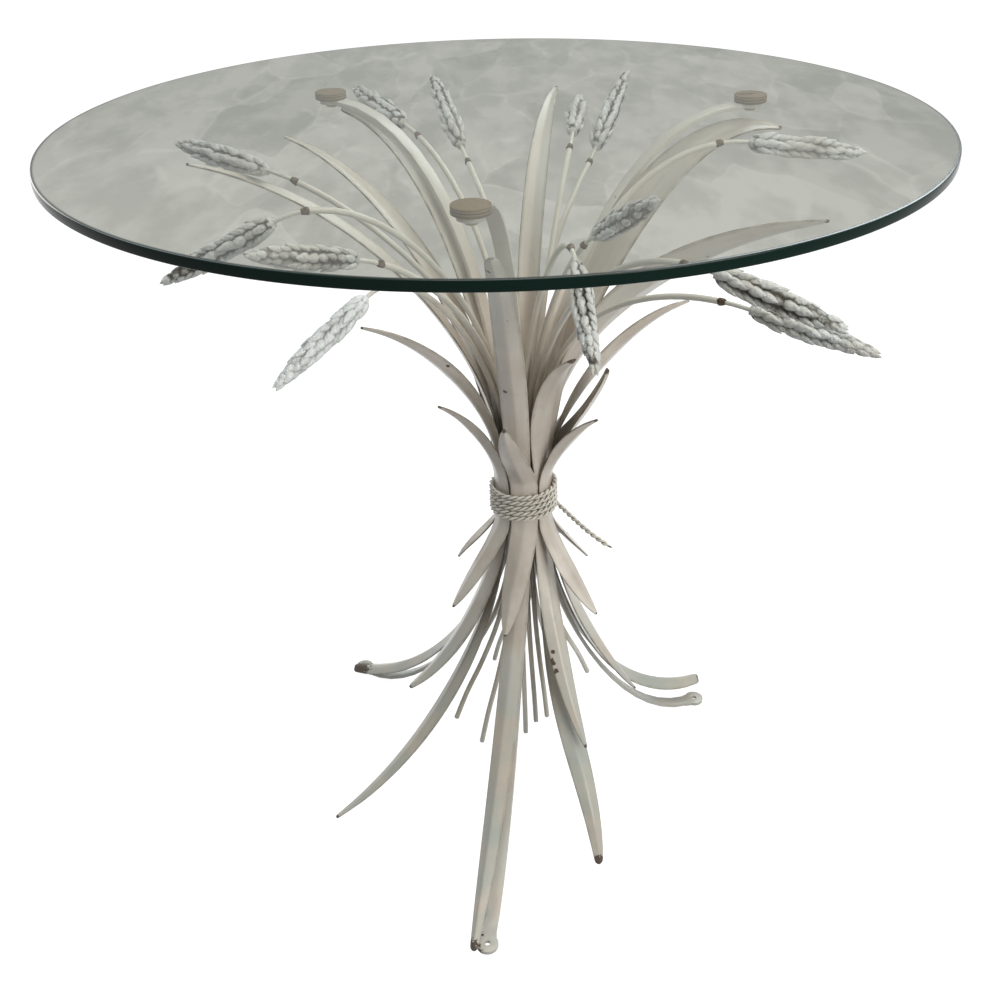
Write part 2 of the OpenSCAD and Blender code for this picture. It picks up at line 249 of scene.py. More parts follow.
def enamel(name, pale, low, warm, edges=False, roughness=0.34, chips=1.0):
    """Old white enamel on steel, uneven in tone, with a few rust chips. Its tone changes with
    height as painted light: cooler near the floor, on the rods lighter there, with painted shade
    lowest down, and paler and bluer just under the glass. Near the binding it is brown with grimy
    dust and painted shade, most on the inner faces. With edges, as on the leaves, it is streaked
    along the sheet, darker along the rims with dust and painted shade, and worn to dark metal at
    the rim and the tips."""
    f = Finish(name)
    height = f.node("ShaderNodeSeparateXYZ", {}, {0: f.place}, "Z")
    cloud = f.step(f.noise(0.045, 3), 0.35, 0.68)
    # Painted light: the tone near the floor turns into the tone higher up
    colour = f.colour(f.step(height, 0.06, 0.24), low, pale)
    # Painted shade near the floor
    shade = f.step(height, 0.20, 0.06) * 0.8 if edges else f.step(height, 0.12, 0.05) * 0.6
    colour = f.colour(shade, colour, tint(low, 0.53, 0.58, 0.56))
    # Painted light: paler and bluer just under the glass
    colour = f.colour(f.step(height, 0.38, 0.46) * 0.85, colour, tint(pale, 0.92, 1.0, 1.02))
    colour = f.colour(cloud * f.step(height, 0.50, 0.36).does("MAXIMUM", 0.35), colour, warm)
    stain = f.step(f.noise(0.012, 5, 0.65), 0.56, 0.78) * 0.35
    colour = f.colour(stain, colour, tint(warm, 0.8, 0.77, 0.7))
    dots = f.cells("F1", 0.009)
    rare = f.step(f.noise(0.03, 2, 0.5), 0.6, 0.7)
    ragged = f.noise(0.0025, 3, 0.6)
    bare = f.step(0.17 * rare * chips + (ragged - 0.5) * 0.12 - dots, 0.0, 0.02)
    fine = f.noise(0.004, 4, 0.6)
    # Brown near the binding: grimy dust and painted shade, most on the inner faces
    near = f.step((height - WAIST).does("ABSOLUTE"), 0.13, 0.01)
    inside = f.attribute("inside") if edges else 0.75
    binding_grime_and_shade = near * (0.12 + 0.75 * inside) * (0.55 + 0.9 * cloud)
    colour = f.colour(binding_grime_and_shade, colour, GRIME_AND_SHADE)
    if edges:
        side, tip = f.attribute("across"), f.attribute("tip")
        run = f.node("ShaderNodeCombineXYZ", {}, {0: side * 2.5, 1: tip * 14})
        streak = f.node("ShaderNodeTexNoise", {},
                        {"Vector": run, "Scale": 1.0, "Detail": 4.0, "Roughness": 0.6})
        colour = f.colour(f.step(streak, 0.5, 0.75) * 0.45, colour, tint(warm, 0.8, 0.78, 0.74))
        rim = side.does("ABSOLUTE")
        patchy = f.noise(0.014, 4, 0.65)
        # Darker along the rims: grimy dust and painted shade
        rim_grime_and_shade = f.step(rim + (patchy - 0.5) * 0.5, 0.78, 1.05) * 0.5
        colour = f.colour(rim_grime_and_shade, colour, EDGE_GRIME_AND_SHADE)
        worn = f.step(rim + (patchy - 0.5) * 0.16, 1.02, 1.05)
        some = f.step(f.noise(0.05, 1), 0.5, 0.6)
        dark_tip = f.step(tip + (ragged - 0.5) * 0.004 + some * 0.004, 0.003, 0.0012)
        bare = bare.does("MAXIMUM", worn * 0.7).does("MAXIMUM", dark_tip)
    for place, radius in BARE_SPOTS:
        away = f.vectors("DISTANCE", f.place, place, out="Value")
        bare = bare.does("MAXIMUM", f.step(away / radius + (ragged - 0.5) * 1.6, 1.0, 0.8))
    colour = f.colour(bare, colour, f.colour(fine, RUST, OLD_RUST))
    relief = fine * 0.12 + f.noise(0.018, 2, 0.5) * 0.7 - bare * 0.5
    return f.principled({
        "Base Color": colour, "Roughness": roughness + (fine - 0.5) * 0.16 + bare * 0.35,
        "Coat Weight": 0.25, "Coat Roughness": 0.2, "Normal": f.bump(relief, 0.0004)})


def ear_enamel():
    """The enamel on the cast ears: thick and pale on the grains, and grimy with painted shade in
    the hollows between them. The ear that hangs lowest at the left is painted with a bluish-white
    light, and its hollows stay lighter."""
    f = Finish("ear_enamel")
    cloud = f.step(f.noise(0.03, 3), 0.35, 0.7)
    colour = f.colour(cloud, (0.69, 0.72, 0.71), (0.57, 0.56, 0.515))
    deep = 1 - f.attribute("lift")
    ragged = f.noise(0.0022, 4, 0.6)
    colour = f.colour(f.step(ragged, 0.45, 0.7) * 0.4, colour, (0.48, 0.46, 0.40))
    x = f.node("ShaderNodeSeparateXYZ", {}, {0: f.place}, "X")
    # Painted bluish-white light on the ear that hangs lowest at the left; its hollows stay lighter
    painted_left_ear_light = f.step(x, -0.05, -0.07) * f.step(f.more(x, "Z"), 0.47, 0.457)
    colour = f.colour(painted_left_ear_light * 0.95, colour, (0.86, 0.90, 0.90))
    # Dark hollows between the grains: grimy dust and painted shade
    hollow_dirt_and_shade = f.step(deep + (ragged - 0.5) * 0.2, 0.14, 0.32) * (1 - 0.65 * painted_left_ear_light)
    dirt_and_shade_tone = f.colour(f.step(f.noise(0.13, 1), 0.42, 0.58), (0.33, 0.33, 0.30), (0.09, 0.082, 0.065))
    worn = f.step(f.noise(0.02, 4, 0.6), 0.6, 0.72) * f.step(ragged, 0.5, 0.62)
    colour = f.colour(hollow_dirt_and_shade.does("MAXIMUM", worn * 0.75), colour, dirt_and_shade_tone)
    return f.principled({
        "Base Color": colour, "Roughness": 0.34 + hollow_dirt_and_shade * 0.4 + (ragged - 0.5) * 0.2,
        "Coat Weight": 0.2, "Coat Roughness": 0.2, "Normal": f.bump(ragged, 0.0014)})


def rope_enamel():
    """Enamel on the wire rope, with painted shade in the groove between its strands."""
    f = Finish("rope_enamel")
    ragged = f.noise(0.0018, 3, 0.6)
    groove = f.attribute("groove")
    colour = f.colour(f.noise(0.02, 3), (0.78, 0.75, 0.68), (0.66, 0.62, 0.55))
    # Painted shade in the groove between the strands
    dark = f.step(groove + (ragged - 0.5) * 0.3, 0.42, 0.78)
    colour = f.colour(dark, colour, (0.07, 0.055, 0.042))
    return f.principled({"Base Color": colour, "Roughness": 0.45 + ragged * 0.2,
                         "Normal": f.bump(ragged, 0.0003)})


def solder():
    f = Finish("brazing_metal")
    lumps = f.noise(0.003, 3, 0.6)
    colour = f.colour(f.step(lumps, 0.35, 0.65), (0.055, 0.038, 0.024), (0.18, 0.13, 0.08))
    return f.principled({"Base Color": colour, "Metallic": 0.6, "Roughness": 0.42 + lumps * 0.25,
                         "Normal": f.bump(lumps, 0.0006)})


def pad_rubber():
    """Tan rubber discs laid one on another: bands by height, speckled and dusty."""
    f = Finish("tan_rubber")
    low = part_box("glass_pads")[0].z
    height = f.node("ShaderNodeSeparateXYZ", {}, {0: f.place}, "Z") - low
    speck = f.noise(0.0016, 4, 0.7)
    colour = f.colour(f.step(speck, 0.35, 0.7), (0.22, 0.175, 0.105), (0.17, 0.135, 0.08))
    colour = f.colour(f.step(height, 0.0042, 0.0030), colour, (0.34, 0.30, 0.21))
    seam = f.step((height - 0.0026).does("ABSOLUTE"), 0.0005, 0.0002)
    under = f.step(height, 0.0022, 0.0012) * 0.8
    colour = f.colour(seam.does("MAXIMUM", under), colour, (0.16, 0.115, 0.07))
    return f.principled({"Base Color": colour, "Roughness": 0.72 + speck * 0.15,
                         "Normal": f.bump(speck * 0.4 - seam, 0.0005)})


def plated_steel():
    f = Finish("dull_plated_steel")
    scuff = f.noise(0.002, 4, 0.6)
    colour = f.colour(scuff, (0.52, 0.46, 0.36), (0.34, 0.29, 0.22))
    return f.principled({"Base Color": colour, "Metallic": 1.0, "Roughness": 0.3 + scuff * 0.3,
                         "Normal": f.bump(scuff, 0.0002)})


def float_glass():
    """Clear float glass: a faint film on the faces, a bright polished arris and a near black green
    edge, which light that meets it from inside the pane doesn't show."""
    f = Finish("float_glass")
    x = f.node("ShaderNodeSeparateXYZ", {}, {0: f.place}, "X")
    y = f.more(x, "Y")
    reach = (x * x + y * y).does("SQRT")
    # At so high an index nearly all light from inside is turned back, and none from outside
    from_inside = f.step(f.node("ShaderNodeFresnel", {}, {"IOR": 40.0}), 0.96, 0.995)
    rim = f.step(reach, GLASS_R - 0.0028, GLASS_R - ARRIS) * (1 - from_inside)
    smear = f.noise(0.09, 4, 0.55)
    film = f.node("ShaderNodeBsdfDiffuse", {}, {"Color": (0.52, 0.52, 0.48, 1)})
    clear = f.node("ShaderNodeBsdfTransparent", {}, {"Color": (0.98, 0.985, 0.975, 1)})
    gloss = f.node("ShaderNodeBsdfGlossy", {}, {"Color": (1.0, 0.99, 0.97, 1), "Roughness": 0.0})
    facing = f.node("ShaderNodeLayerWeight", {}, {"Blend": 0.5}, "Facing")
    mirror = (0.02 + 0.9 * facing ** 5.0) * (1 - from_inside)
    face = f.mix(mirror, f.mix(0.01 + smear * 0.05, clear, film), gloss)
    polished = f.step(f.more(x, "Z"), GLASS_HIGH - 0.0008, GLASS_HIGH - 0.0002)
    edge = f.node("ShaderNodeBsdfPrincipled", {},
                  {"Base Color": (0.003, 0.016, 0.012, 1), "Roughness": 0.15,
                   "Specular IOR Level": 0.06, "Coat Weight": polished, "Coat Roughness": 0.2})
    return f.end(f.mix(rim, face, edge))


# Meshes

def placed(name, data):
    """An object for this data at the origin, in the scene."""
    thing = bpy.data.objects.new(name, data)
    bpy.context.scene.collection.objects.link(thing)
    return thing


def stands_for(thing, node, body="sheaf"):
    """Puts a finished piece in the place of a CAD node."""
    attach(thing, body)
    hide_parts(node)


def store(mesh, field, values):
    """Keeps a number for each point, which a material reads with attribute()."""
    mesh.attributes.new(field, "FLOAT", "POINT").data.foreach_set(
        "value", np.asarray(values, np.float32))


def mesh_object(name, points, faces, fields, material):
    mesh = bpy.data.meshes.new(name)
    mesh.from_pydata([tuple(p) for p in points], [], faces)
    for field, values in fields.items():
        store(mesh, field, values)
    mesh.materials.append(material)
    mesh.shade_smooth()
    return placed(name, mesh)


def skin(name, rings, fields, material):
    """A closed smooth skin over rings [ring, point, xyz] of the same count, faces outward."""
    rows, count = rings.shape[:2]
    flat = rings.reshape(-1, 3)
    quads = []
    for i in range(rows - 1):
        here, there = i * count, (i + 1) * count
        for j in range(count):
            k = (j + 1) % count
            quads.append((here + j, here + k, there + k, there + j))
    first, last = tuple(range(count)), tuple((rows - 1) * count + j for j in range(count))
    faces = quads + [first[::-1], last]
    volume = 0.0
    centre = flat.mean(0)
    for face in quads:
        a, b, c, d = (flat[k] - centre for k in face)
        volume += np.dot(a, np.cross(b, c)) + np.dot(a, np.cross(c, d))
    # Below nought when the faces look inward
    if volume < 0:
        faces = [face[::-1] for face in faces]
    return mesh_object(name, flat, faces, fields, material)


def merged(name):
    """A copy of a CAD node's mesh with its loose triangles joined."""
    bm = bmesh.new()
    bm.from_mesh(nodes[name].data)
    bmesh.ops.remove_doubles(bm, verts=bm.verts, dist=2e-6)
    return bm


def end_caps(bm, count):
    """Flat patches with as many corners as a ring has, the farthest out first."""
    seen, caps = set(), []
    for start in bm.faces:
        if start in seen:
            continue
        patch, todo = [], [start]
        seen.add(start)
        while todo:
            face = todo.pop()
            patch.append(face)
            for edge in face.edges:
                for other in edge.link_faces:
                    if other not in seen and math.sin(edge.calc_face_angle(1)) < 0.2:
                        seen.add(other)
                        todo.append(other)
        if len(patch) == count - 2 and len({v for face in patch for v in face.verts}) == count:
            caps.append(patch)
    middle = sum((v.co for v in bm.verts), Vector()) / len(bm.verts)
    return sorted(caps, key=lambda patch: -(patch[0].verts[0].co - middle).length)


def follow_rings(patch, count):
    """The rings of corners from an end cap on, each in the order of the one before."""
    rim = [e for face in patch for e in face.edges if sum(f in patch for f in e.link_faces) == 1]
    loop = [rim[0].verts[0], rim[0].verts[1]]
    while len(loop) < count:
        loop += [e.other_vert(loop[-1]) for e in rim
                 if loop[-1] in e.verts and loop[-2] not in e.verts]
    rings, used = [loop], set(loop)
    while True:
        last = rings[-1]
        fresh = {e.other_vert(v) for v in last for e in v.link_edges} - used
        if len(fresh) != count:
            return rings
        order = [None] * count
        for v in fresh:
            touch = [k for k, w in enumerate(last)
                     if any(e.other_vert(w) is v for e in w.link_edges)]
            order[touch[-1] if touch == [0, count - 1] else touch[0]] = v
        if None in order:
            return rings
        here = np.array([v.co for v in last])
        there = np.array([v.co for v in order])
        drift = there.mean(0) - here.mean(0)
        shift = min((0, 1), key=lambda s: np.linalg.norm(
            np.roll(there, s, 0) - here - drift, axis=1).sum())
        rings.append(order[-shift:] + order[:-shift] if shift else order)
        used |= fresh


def cad_rings(name, count):
    """The rings of points that a CAD skin runs over, from one end cap to the other."""
    bm = merged(name)
    bm.normal_update()
    for patch in end_caps(bm, count):
        rings = follow_rings(patch, count)
        if len(rings) * count == len(bm.verts):
            found = np.array([[v.co for v in ring] for ring in rings])
            bm.free()
            return found
    raise ValueError("no rings found in " + name)


def lengths(points):
    return np.concatenate([[0], np.cumsum(np.linalg.norm(np.diff(points, axis=0), axis=1))])


def smooth(places, rows, at):
    """Rows of numbers that are known at places, on a smooth curve at other places."""
    slope = np.gradient(rows, places, axis=0)
    i = np.clip(np.searchsorted(places, at, side="right") - 1, 0, len(places) - 2)
    gap = (places[i + 1] - places[i])[:, None]
    s = (at[:, None] - places[i][:, None]) / gap
    return ((2 * s**3 - 3 * s**2 + 1) * rows[i] + (s**3 - 2 * s**2 + s) * gap * slope[i]
            + (3 * s**2 - 2 * s**3) * rows[i + 1] + (s**3 - s**2) * gap * slope[i + 1])


# Leaves

# Points across a leaf, from rim to rim, and along a rounded tip, from its end on
ACROSS = np.array([-1, -0.965, -0.85, -0.62, -0.36, -0.16, -0.05,
                   0.05, 0.16, 0.36, 0.62, 0.85, 0.965, 1])
TIP_STEPS = np.array([0, 0.02, 0.08, 0.18, 0.34, 0.6, 1])
TIP_LENGTH = 0.006
LEAF_STEPS = 66
CREASE_SOFTNESS = 0.12
RIM_SWELL = 0.0004


def make_leaf(name, material):
    """One strip of sheet steel, creased along its middle, with a soft crease and rounded tips."""
    rings = cad_rings(name, 6)
    spread = [np.linalg.norm(rings[:, s] - rings[:, (s + 2) % 6], axis=1).sum() for s in range(6)]
    q = np.roll(rings, -int(np.argmax(spread)), axis=1)
    parts = []
    for a, keel, b in ((0, 1, 2), (5, 4, 3)):
        middle = (q[:, a] + q[:, b]) / 2
        parts += [middle, (q[:, b] - q[:, a]) / 2, q[:, keel] - middle]
    rows = np.concatenate(parts, axis=1)
    places = lengths(parts[0])
    whole = places[-1]
    half = np.linalg.norm(parts[1], axis=1)
    round_low, round_high = (min(TIP_LENGTH, half[end] * 1.3) for end in (0, -1))
    at = np.concatenate([TIP_STEPS * round_low,
                         np.linspace(round_low, whole - round_high, LEAF_STEPS)[1:-1],
                         whole - TIP_STEPS[::-1] * round_high])
    fine = smooth(places, rows, at).reshape(-1, 6, 3)
    from_tip = np.minimum(at, whole - at)
    ends = np.where(at < whole / 2, round_low, round_high)
    narrow = np.sqrt(1 - (1 - np.clip(from_tip / ends, 0, 1))**2) * 0.94 + 0.06
    soft = CREASE_SOFTNESS
    high = 1 - np.sqrt(ACROSS**2 + soft**2) + soft * np.abs(ACROSS) * 0.1
    loops, across, inside, tips = [], [], [], []
    for row, thin, tip in zip(fine, narrow, from_tip):
        outer, inner = ([row[k] + thin * a * row[k + 1] + h * row[k + 2] * (0.4 + 0.6 * thin)
                         for a, h in zip(ACROSS, high)] for k in (0, 3))
        way = row[1] / np.linalg.norm(row[1])
        rim = [(outer[k] + inner[k]) / 2 + s * RIM_SWELL * way for k, s in ((-1, 1), (0, -1))]
        loops.append(outer + [rim[0]] + inner[::-1] + [rim[1]])
        across += list(ACROSS) + [1.05] + list(ACROSS[::-1]) + [-1.05]
        inside += [0] * (len(ACROSS) + 1) + [1] * (len(ACROSS) + 1)
        tips += [tip] * (2 * len(ACROSS) + 2)
    fields = {"across": across, "inside": inside, "tip": tips}
    stands_for(skin(name + "_sheet", np.array(loops), fields, material), name)


# Stalks and stems

ROD_SIDES, WIRE_SIDES = 14, 12
# Points along the rounded end of a rod
END_STEPS = np.array([0.0, 0.12, 0.4, 0.75, 1.0])


def tube(rings, radius, sides, steps, round_start=0.0, round_end=0.0):
    """Rings of a round rod along the middle of CAD rings, with rounded ends where asked."""
    middle = rings.mean(1)
    side = rings[:, 0] - middle
    side /= np.linalg.norm(side, axis=1)[:, None]
    places = lengths(middle)
    whole = places[-1]
    at = np.linspace(0, whole, (len(places) - 1) * steps + 1)
    if round_start:
        at = np.concatenate([END_STEPS * round_start, at[at > round_start * 1.2]])
    if round_end:
        at = np.concatenate([at[at < whole - round_end * 1.2],
                             whole - END_STEPS[::-1] * round_end])
    fine = smooth(places, np.concatenate([middle, side], axis=1), at)
    centre, x = fine[:, :3], fine[:, 3:]
    way = np.gradient(centre, at, axis=0)
    way /= np.linalg.norm(way, axis=1)[:, None]
    x -= (x * way).sum(1)[:, None] * way
    x /= np.linalg.norm(x, axis=1)[:, None]
    y = np.cross(way, x)
    size = np.full(len(at), radius)
    if round_start:
        size *= np.sqrt(1 - (1 - np.clip(at / round_start, 0.03, 1))**2)
    if round_end:
        size *= np.sqrt(1 - (1 - np.clip((whole - at) / round_end, 0.03, 1))**2)
    angles = np.arange(sides) * 2 * math.pi / sides
    return np.array([[c + r * (math.cos(t) * u + math.sin(t) * v) for t in angles]
                     for c, r, u, v in zip(centre, size, x, y)])


def make_stalk(number, material):
    name = "stalk_%d" % number
    rings = cad_rings(name, 6)
    if rings[0, :, 2].mean() > rings[-1, :, 2].mean():
        rings = rings[::-1]
    radius = np.linalg.norm(rings[3, 0] - rings[3, 3]) / 2
    rod = tube(rings, radius, ROD_SIDES, steps=3, round_start=0.0012, round_end=0.0006)
    stands_for(skin(name + "_rod", rod, {}, material), name)


# Geometry Nodes

class Forge(Tree):
    """A Geometry Nodes tree with named inputs, which is run once for each piece."""

    def __init__(self, name, inputs):
        super().__init__(bpy.data.node_groups.new(name, "GeometryNodeTree"))
        side = self.tree.interface
        side.new_socket("Geometry", in_out="OUTPUT", socket_type="NodeSocketGeometry")
        side.new_socket("Geometry", in_out="INPUT", socket_type="NodeSocketGeometry")
        for label, kind in inputs.items():
            side.new_socket(label, in_out="INPUT", socket_type=kind)
        self.entry = self.node("NodeGroupInput")
        self.ids = {item.name: item.identifier for item in side.items_tree
                    if item.in_out == "INPUT"}

    def given(self, label):
        return self.more(self.entry, label)

    def vector(self, x, y, z):
        return self.node("ShaderNodeCombineXYZ", {}, {0: x, 1: y, 2: z})

    def field(self, kind, out=0):
        return self.node("GeometryNode" + kind, out=out)

    def moved(self, geometry, **where):
        return self.node("GeometryNodeSetPosition", {}, {"Geometry": geometry, **where})

    def wobble(self, index, seed):
        """A random number from -1 to 1 for each index."""
        return self.node("FunctionNodeRandomValue", {"data_type": "FLOAT"},
                         {2: -1.0, 3: 1.0, "ID": index, "Seed": seed}, 1)

    def joined(self, *parts):
        both = self.node("GeometryNodeJoinGeometry")
        for part in parts:
            self.tree.links.new(part.socket, both.socket.node.inputs[0])
        return both

    def finish(self, geometry, material):
        whole = self.node("GeometryNodeSetShadeSmooth", {}, {"Geometry": geometry})
        whole = self.node("GeometryNodeRealizeInstances", {}, {0: whole})
        whole = self.node("GeometryNodeSetMaterial", {}, {"Geometry": whole, "Material": material})
        self.node("NodeGroupOutput", {}, {0: whole})

    def run(self, name, values, base=None):
        """The tree's result as a plain mesh."""
        thing = placed(name, base or bpy.data.meshes.new(name))
        modifier = thing.modifiers.new("forge", "NODES")
        modifier.node_group = self.tree
        for label, value in values.items():
            modifier[self.ids[label]] = value
        bpy.context.view_layer.update()
        seen = thing.evaluated_get(bpy.context.evaluated_depsgraph_get())
        mesh = bpy.data.meshes.new_from_object(seen)
        bpy.data.objects.remove(thing)
        return mesh


EAR_INPUTS = {"Rows": "NodeSocketInt", "Columns": "NodeSocketInt", "Length": "NodeSocketFloat",
              "Radius": "NodeSocketFloat", "Seed": "NodeSocketInt"}
GRAIN_COLUMNS, GRAIN_ROW = 6, 0.0072
# Belts of an ear along its length, whose reach tells its outside from its hollows
BELTS = 10


def ear_forge(material):
    """Rows of plump pointed grains on a spindle along +Z, every other column half a row on."""
    f = Forge("wheat ear", EAR_INPUTS)
    rows, columns, length, radius, seed = (f.given(label) for label in EAR_INPUTS)
    ball = f.node("GeometryNodeMeshUVSphere", {}, {"Segments": 8, "Rings": 7, "Radius": 1.0})
    x = f.node("ShaderNodeSeparateXYZ", {}, {0: f.field("InputPosition")})
    y, z = f.more(x, 1), f.more(x, 2)
    along = (z + 1) * 0.5
    taper = 1 - 0.72 * along * along
    keel = 1 + 0.22 * x.does("MAXIMUM", 0.0)
    grain = f.moved(ball, Position=f.vector(x * taper * keel * 0.8, y * taper, along))
    points = f.node("GeometryNodePoints", {}, {"Count": rows * columns})
    index = f.field("InputIndex")
    row = (index / columns).does("FLOOR")
    column = index - row * columns
    odd = column.does("MODULO", 2.0)
    wobble, sway = f.wobble(index, seed), f.wobble(index, seed + 5)
    u = (row + odd * 0.5 + wobble * 0.08) / (rows + 0.4)
    bulge = (1.1 - 0.35 * u) * ((u * 0.9 + 0.1) * math.pi).does("SINE") ** 0.45
    turn = column / columns * (2 * math.pi) + sway * 0.09
    out = radius * bulge * 0.46
    seat = f.vector(out * turn.does("COSINE"), out * turn.does("SINE"), u * length)
    size = (1 + sway * 0.08) * (0.55 + 0.45 * bulge)
    wide = radius * size * 0.5
    tall = length / rows * (1.95 - 0.9 * u * u * u + wobble * 0.2)
    lean = 0.32 - 0.5 * u * u * u * u + wobble * 0.1
    grains = f.node("GeometryNodeInstanceOnPoints", {},
                    {"Points": f.moved(points, Position=seat), "Instance": grain,
                     "Rotation": f.vector(sway * 0.16, lean, turn),
                     "Scale": f.vector(wide, wide * 1.1, tall)})
    spindle = f.node("GeometryNodeMeshCone", {},
                     {"Vertices": 10, "Side Segments": 6, "Radius Top": 0.001,
                      "Radius Bottom": 0.0032, "Depth": length * 0.96})
    f.finish(f.joined(grains, spindle), material)
    return f


def show_hollows(mesh, length):
    """Stores as lift how near each point of an ear along +Z is to the ear's outside."""
    points = np.array([v.co for v in mesh.vertices])
    out, height = np.hypot(points[:, 0], points[:, 1]), points[:, 2]
    at = height / length * BELTS
    belts = np.clip(at.astype(int), 0, BELTS)
    reach = np.array([np.percentile(out[belts == b], 96) if (belts == b).any() else 1.0
                      for b in range(BELTS + 1)])
    lift = np.clip(out / np.interp(at - 0.5, np.arange(BELTS + 1), reach), 0, 1)
    ends = np.maximum(1 - height / 0.006, 1 - (length - height) / 0.009)
    store(mesh, "lift", np.maximum(lift, ends))


# The bead of brazing metal round a stem: rings along it, and their share of the bead's radius
BEAD_AT = np.array([-0.0022, -0.0018, -0.0008, 0.0006, 0.002, 0.0032, 0.0038])
BEAD_GIRTH = np.array([0.45, 0.8, 1, 0.95, 0.86, 0.66, 0.42])
BEAD_THICKNESS = 0.0011
BEAD_SIDES = 12
# Rings of an ear's wire stem, and how far the wire runs on into the grains
STEM_RINGS, WIRE_REACH = 5, 0.006


def make_ear(number, forge, wire_paint, braze):
    """One ear: wire stem with its bead of brazing metal, and the grains."""
    name = "ear_%d" % number
    rings = cad_rings(name, 8)
    width = np.linalg.norm(rings[:, 0] - rings[:, 4], axis=1)
    if width[1] > width[-2]:
        rings = rings[::-1]
    stem, top = rings[:STEM_RINGS], rings[-1].mean(0)
    foot = stem[-1].mean(0)
    length = np.linalg.norm(top - foot)
    way = (top - foot) / length
    girth = max(np.linalg.norm(r - r.mean(0), axis=1).max() for r in rings)
    mesh = forge.run(name + "_grains",
                     {"Rows": max(6, round(length / GRAIN_ROW)), "Columns": GRAIN_COLUMNS,
                      "Length": float(length), "Radius": float(girth), "Seed": number})
    show_hollows(mesh, length)
    across = Vector(way).orthogonal().normalized()
    place = Matrix((across, Vector(way).cross(across), Vector(way))).transposed().to_4x4()
    mesh.transform(Matrix.Translation(foot) @ place)
    grains = placed(name + "_grains", mesh)
    beyond = np.concatenate([stem, (stem[-1] + way * WIRE_REACH)[None]])
    thick = np.linalg.norm(stem[0, 0] - stem[0, 4]) / 2
    wire = skin(name + "_wire", tube(beyond, thick, WIRE_SIDES, steps=3), {}, wire_paint)
    start, ahead = stem[0].mean(0), stem[1].mean(0) - stem[0].mean(0)
    ahead /= np.linalg.norm(ahead)
    u = np.cross(ahead, [0.3, 0.2, 1])
    u /= np.linalg.norm(u)
    v = np.cross(ahead, u)
    angles = np.arange(BEAD_SIDES) * 2 * math.pi / BEAD_SIDES
    bead = np.array([[start + b * ahead + r * (1 + 0.1 * math.sin(3 * t + number + 600 * b))
                      * (math.cos(t) * u + math.sin(t) * v) for t in angles]
                     for b, r in zip(BEAD_AT, BEAD_GIRTH * (thick + BEAD_THICKNESS))])
    joint = skin(name + "_joint", bead, {}, braze)
    stands_for(join_up(name + "_cast", [grains, wire, joint]), name)


def join_up(name, things):
    with bpy.context.temp_override(active_object=things[0], object=things[0],
                                   selected_editable_objects=things):
        bpy.ops.object.join()
    things[0].name = name
    return things[0]


ROPE_INPUTS = {"Strand": "NodeSocketFloat", "Lay": "NodeSocketFloat", "Point": "NodeSocketFloat"}
# One twist of the rope, and the length over which its loose end thins out
ROPE_LAY, ROPE_POINT = 0.0108, 0.006
ROPE_STEPS, STRAND_STEP, STRAND_SIDES = 900, 0.0009, 8


def rope_forge(material):
    """Two strands that twist round each other along a curve."""
    f = Forge("wire rope", ROPE_INPUTS)
    strand, lay, point = (f.given(label) for label in ROPE_INPUTS)
    line = f.node("GeometryNodeResampleCurve", {"mode": "LENGTH"},
                  {"Curve": f.entry, "Length": STRAND_STEP})
    run = f.field("SplineParameter", 1)
    normal, way = f.field("InputNormal"), f.field("InputTangent")
    side = f.vectors("CROSS_PRODUCT", way, normal)
    slim = (run / point).does("MINIMUM", 1.0)
    strands = []
    for start in (0.0, math.pi):
        turn = start - run / lay * (2 * math.pi)
        part = [f.node("ShaderNodeVectorMath", {"operation": "SCALE"},
                       {0: v, "Scale": s * strand * slim})
                for v, s in ((normal, turn.does("COSINE")), (side, turn.does("SINE")))]
        ring = f.node("GeometryNodeCurvePrimitiveCircle", {"mode": "RADIUS"},
                      {"Resolution": STRAND_SIDES, "Radius": 1.0})
        strands.append(f.node("GeometryNodeCurveToMesh", {}, {
            "Curve": f.moved(line, Offset=f.vectors("ADD", *part)), "Profile Curve": ring,
            "Fill Caps": True, "Scale": strand * (0.35 + 0.65 * slim)}))
    f.finish(f.joined(*strands), material)
    return f


def make_rope(material):
    rings = cad_rings("binding_rope", 6)
    width = np.linalg.norm(rings[:, 0] - rings[:, 3], axis=1)
    if width[0] > width[-1]:
        rings = rings[::-1]
    middle = rings.mean(1)
    places = lengths(middle)
    fine = smooth(places, middle, np.linspace(0, places[-1], ROPE_STEPS))
    curve = bpy.data.curves.new("rope_line", "CURVE")
    curve.dimensions = "3D"
    spline = curve.splines.new("POLY")
    spline.points.add(len(fine) - 1)
    spline.points.foreach_set("co", np.concatenate([fine, np.ones((len(fine), 1))], axis=1).ravel())
    radius = np.linalg.norm(rings[40] - middle[40], axis=1).mean()
    mesh = rope_forge(material).run("rope_strands", {
        "Strand": float(radius / 2), "Lay": ROPE_LAY, "Point": ROPE_POINT}, curve)
    points = np.array([v.co for v in mesh.vertices])
    near = np.array([np.linalg.norm(fine - p, axis=1).min() for p in points])
    store(mesh, "groove", 1 - np.clip(near / radius, 0, 1))
    stands_for(placed("rope_strands", mesh), "binding_rope")


# Bars, pads, screws and glass

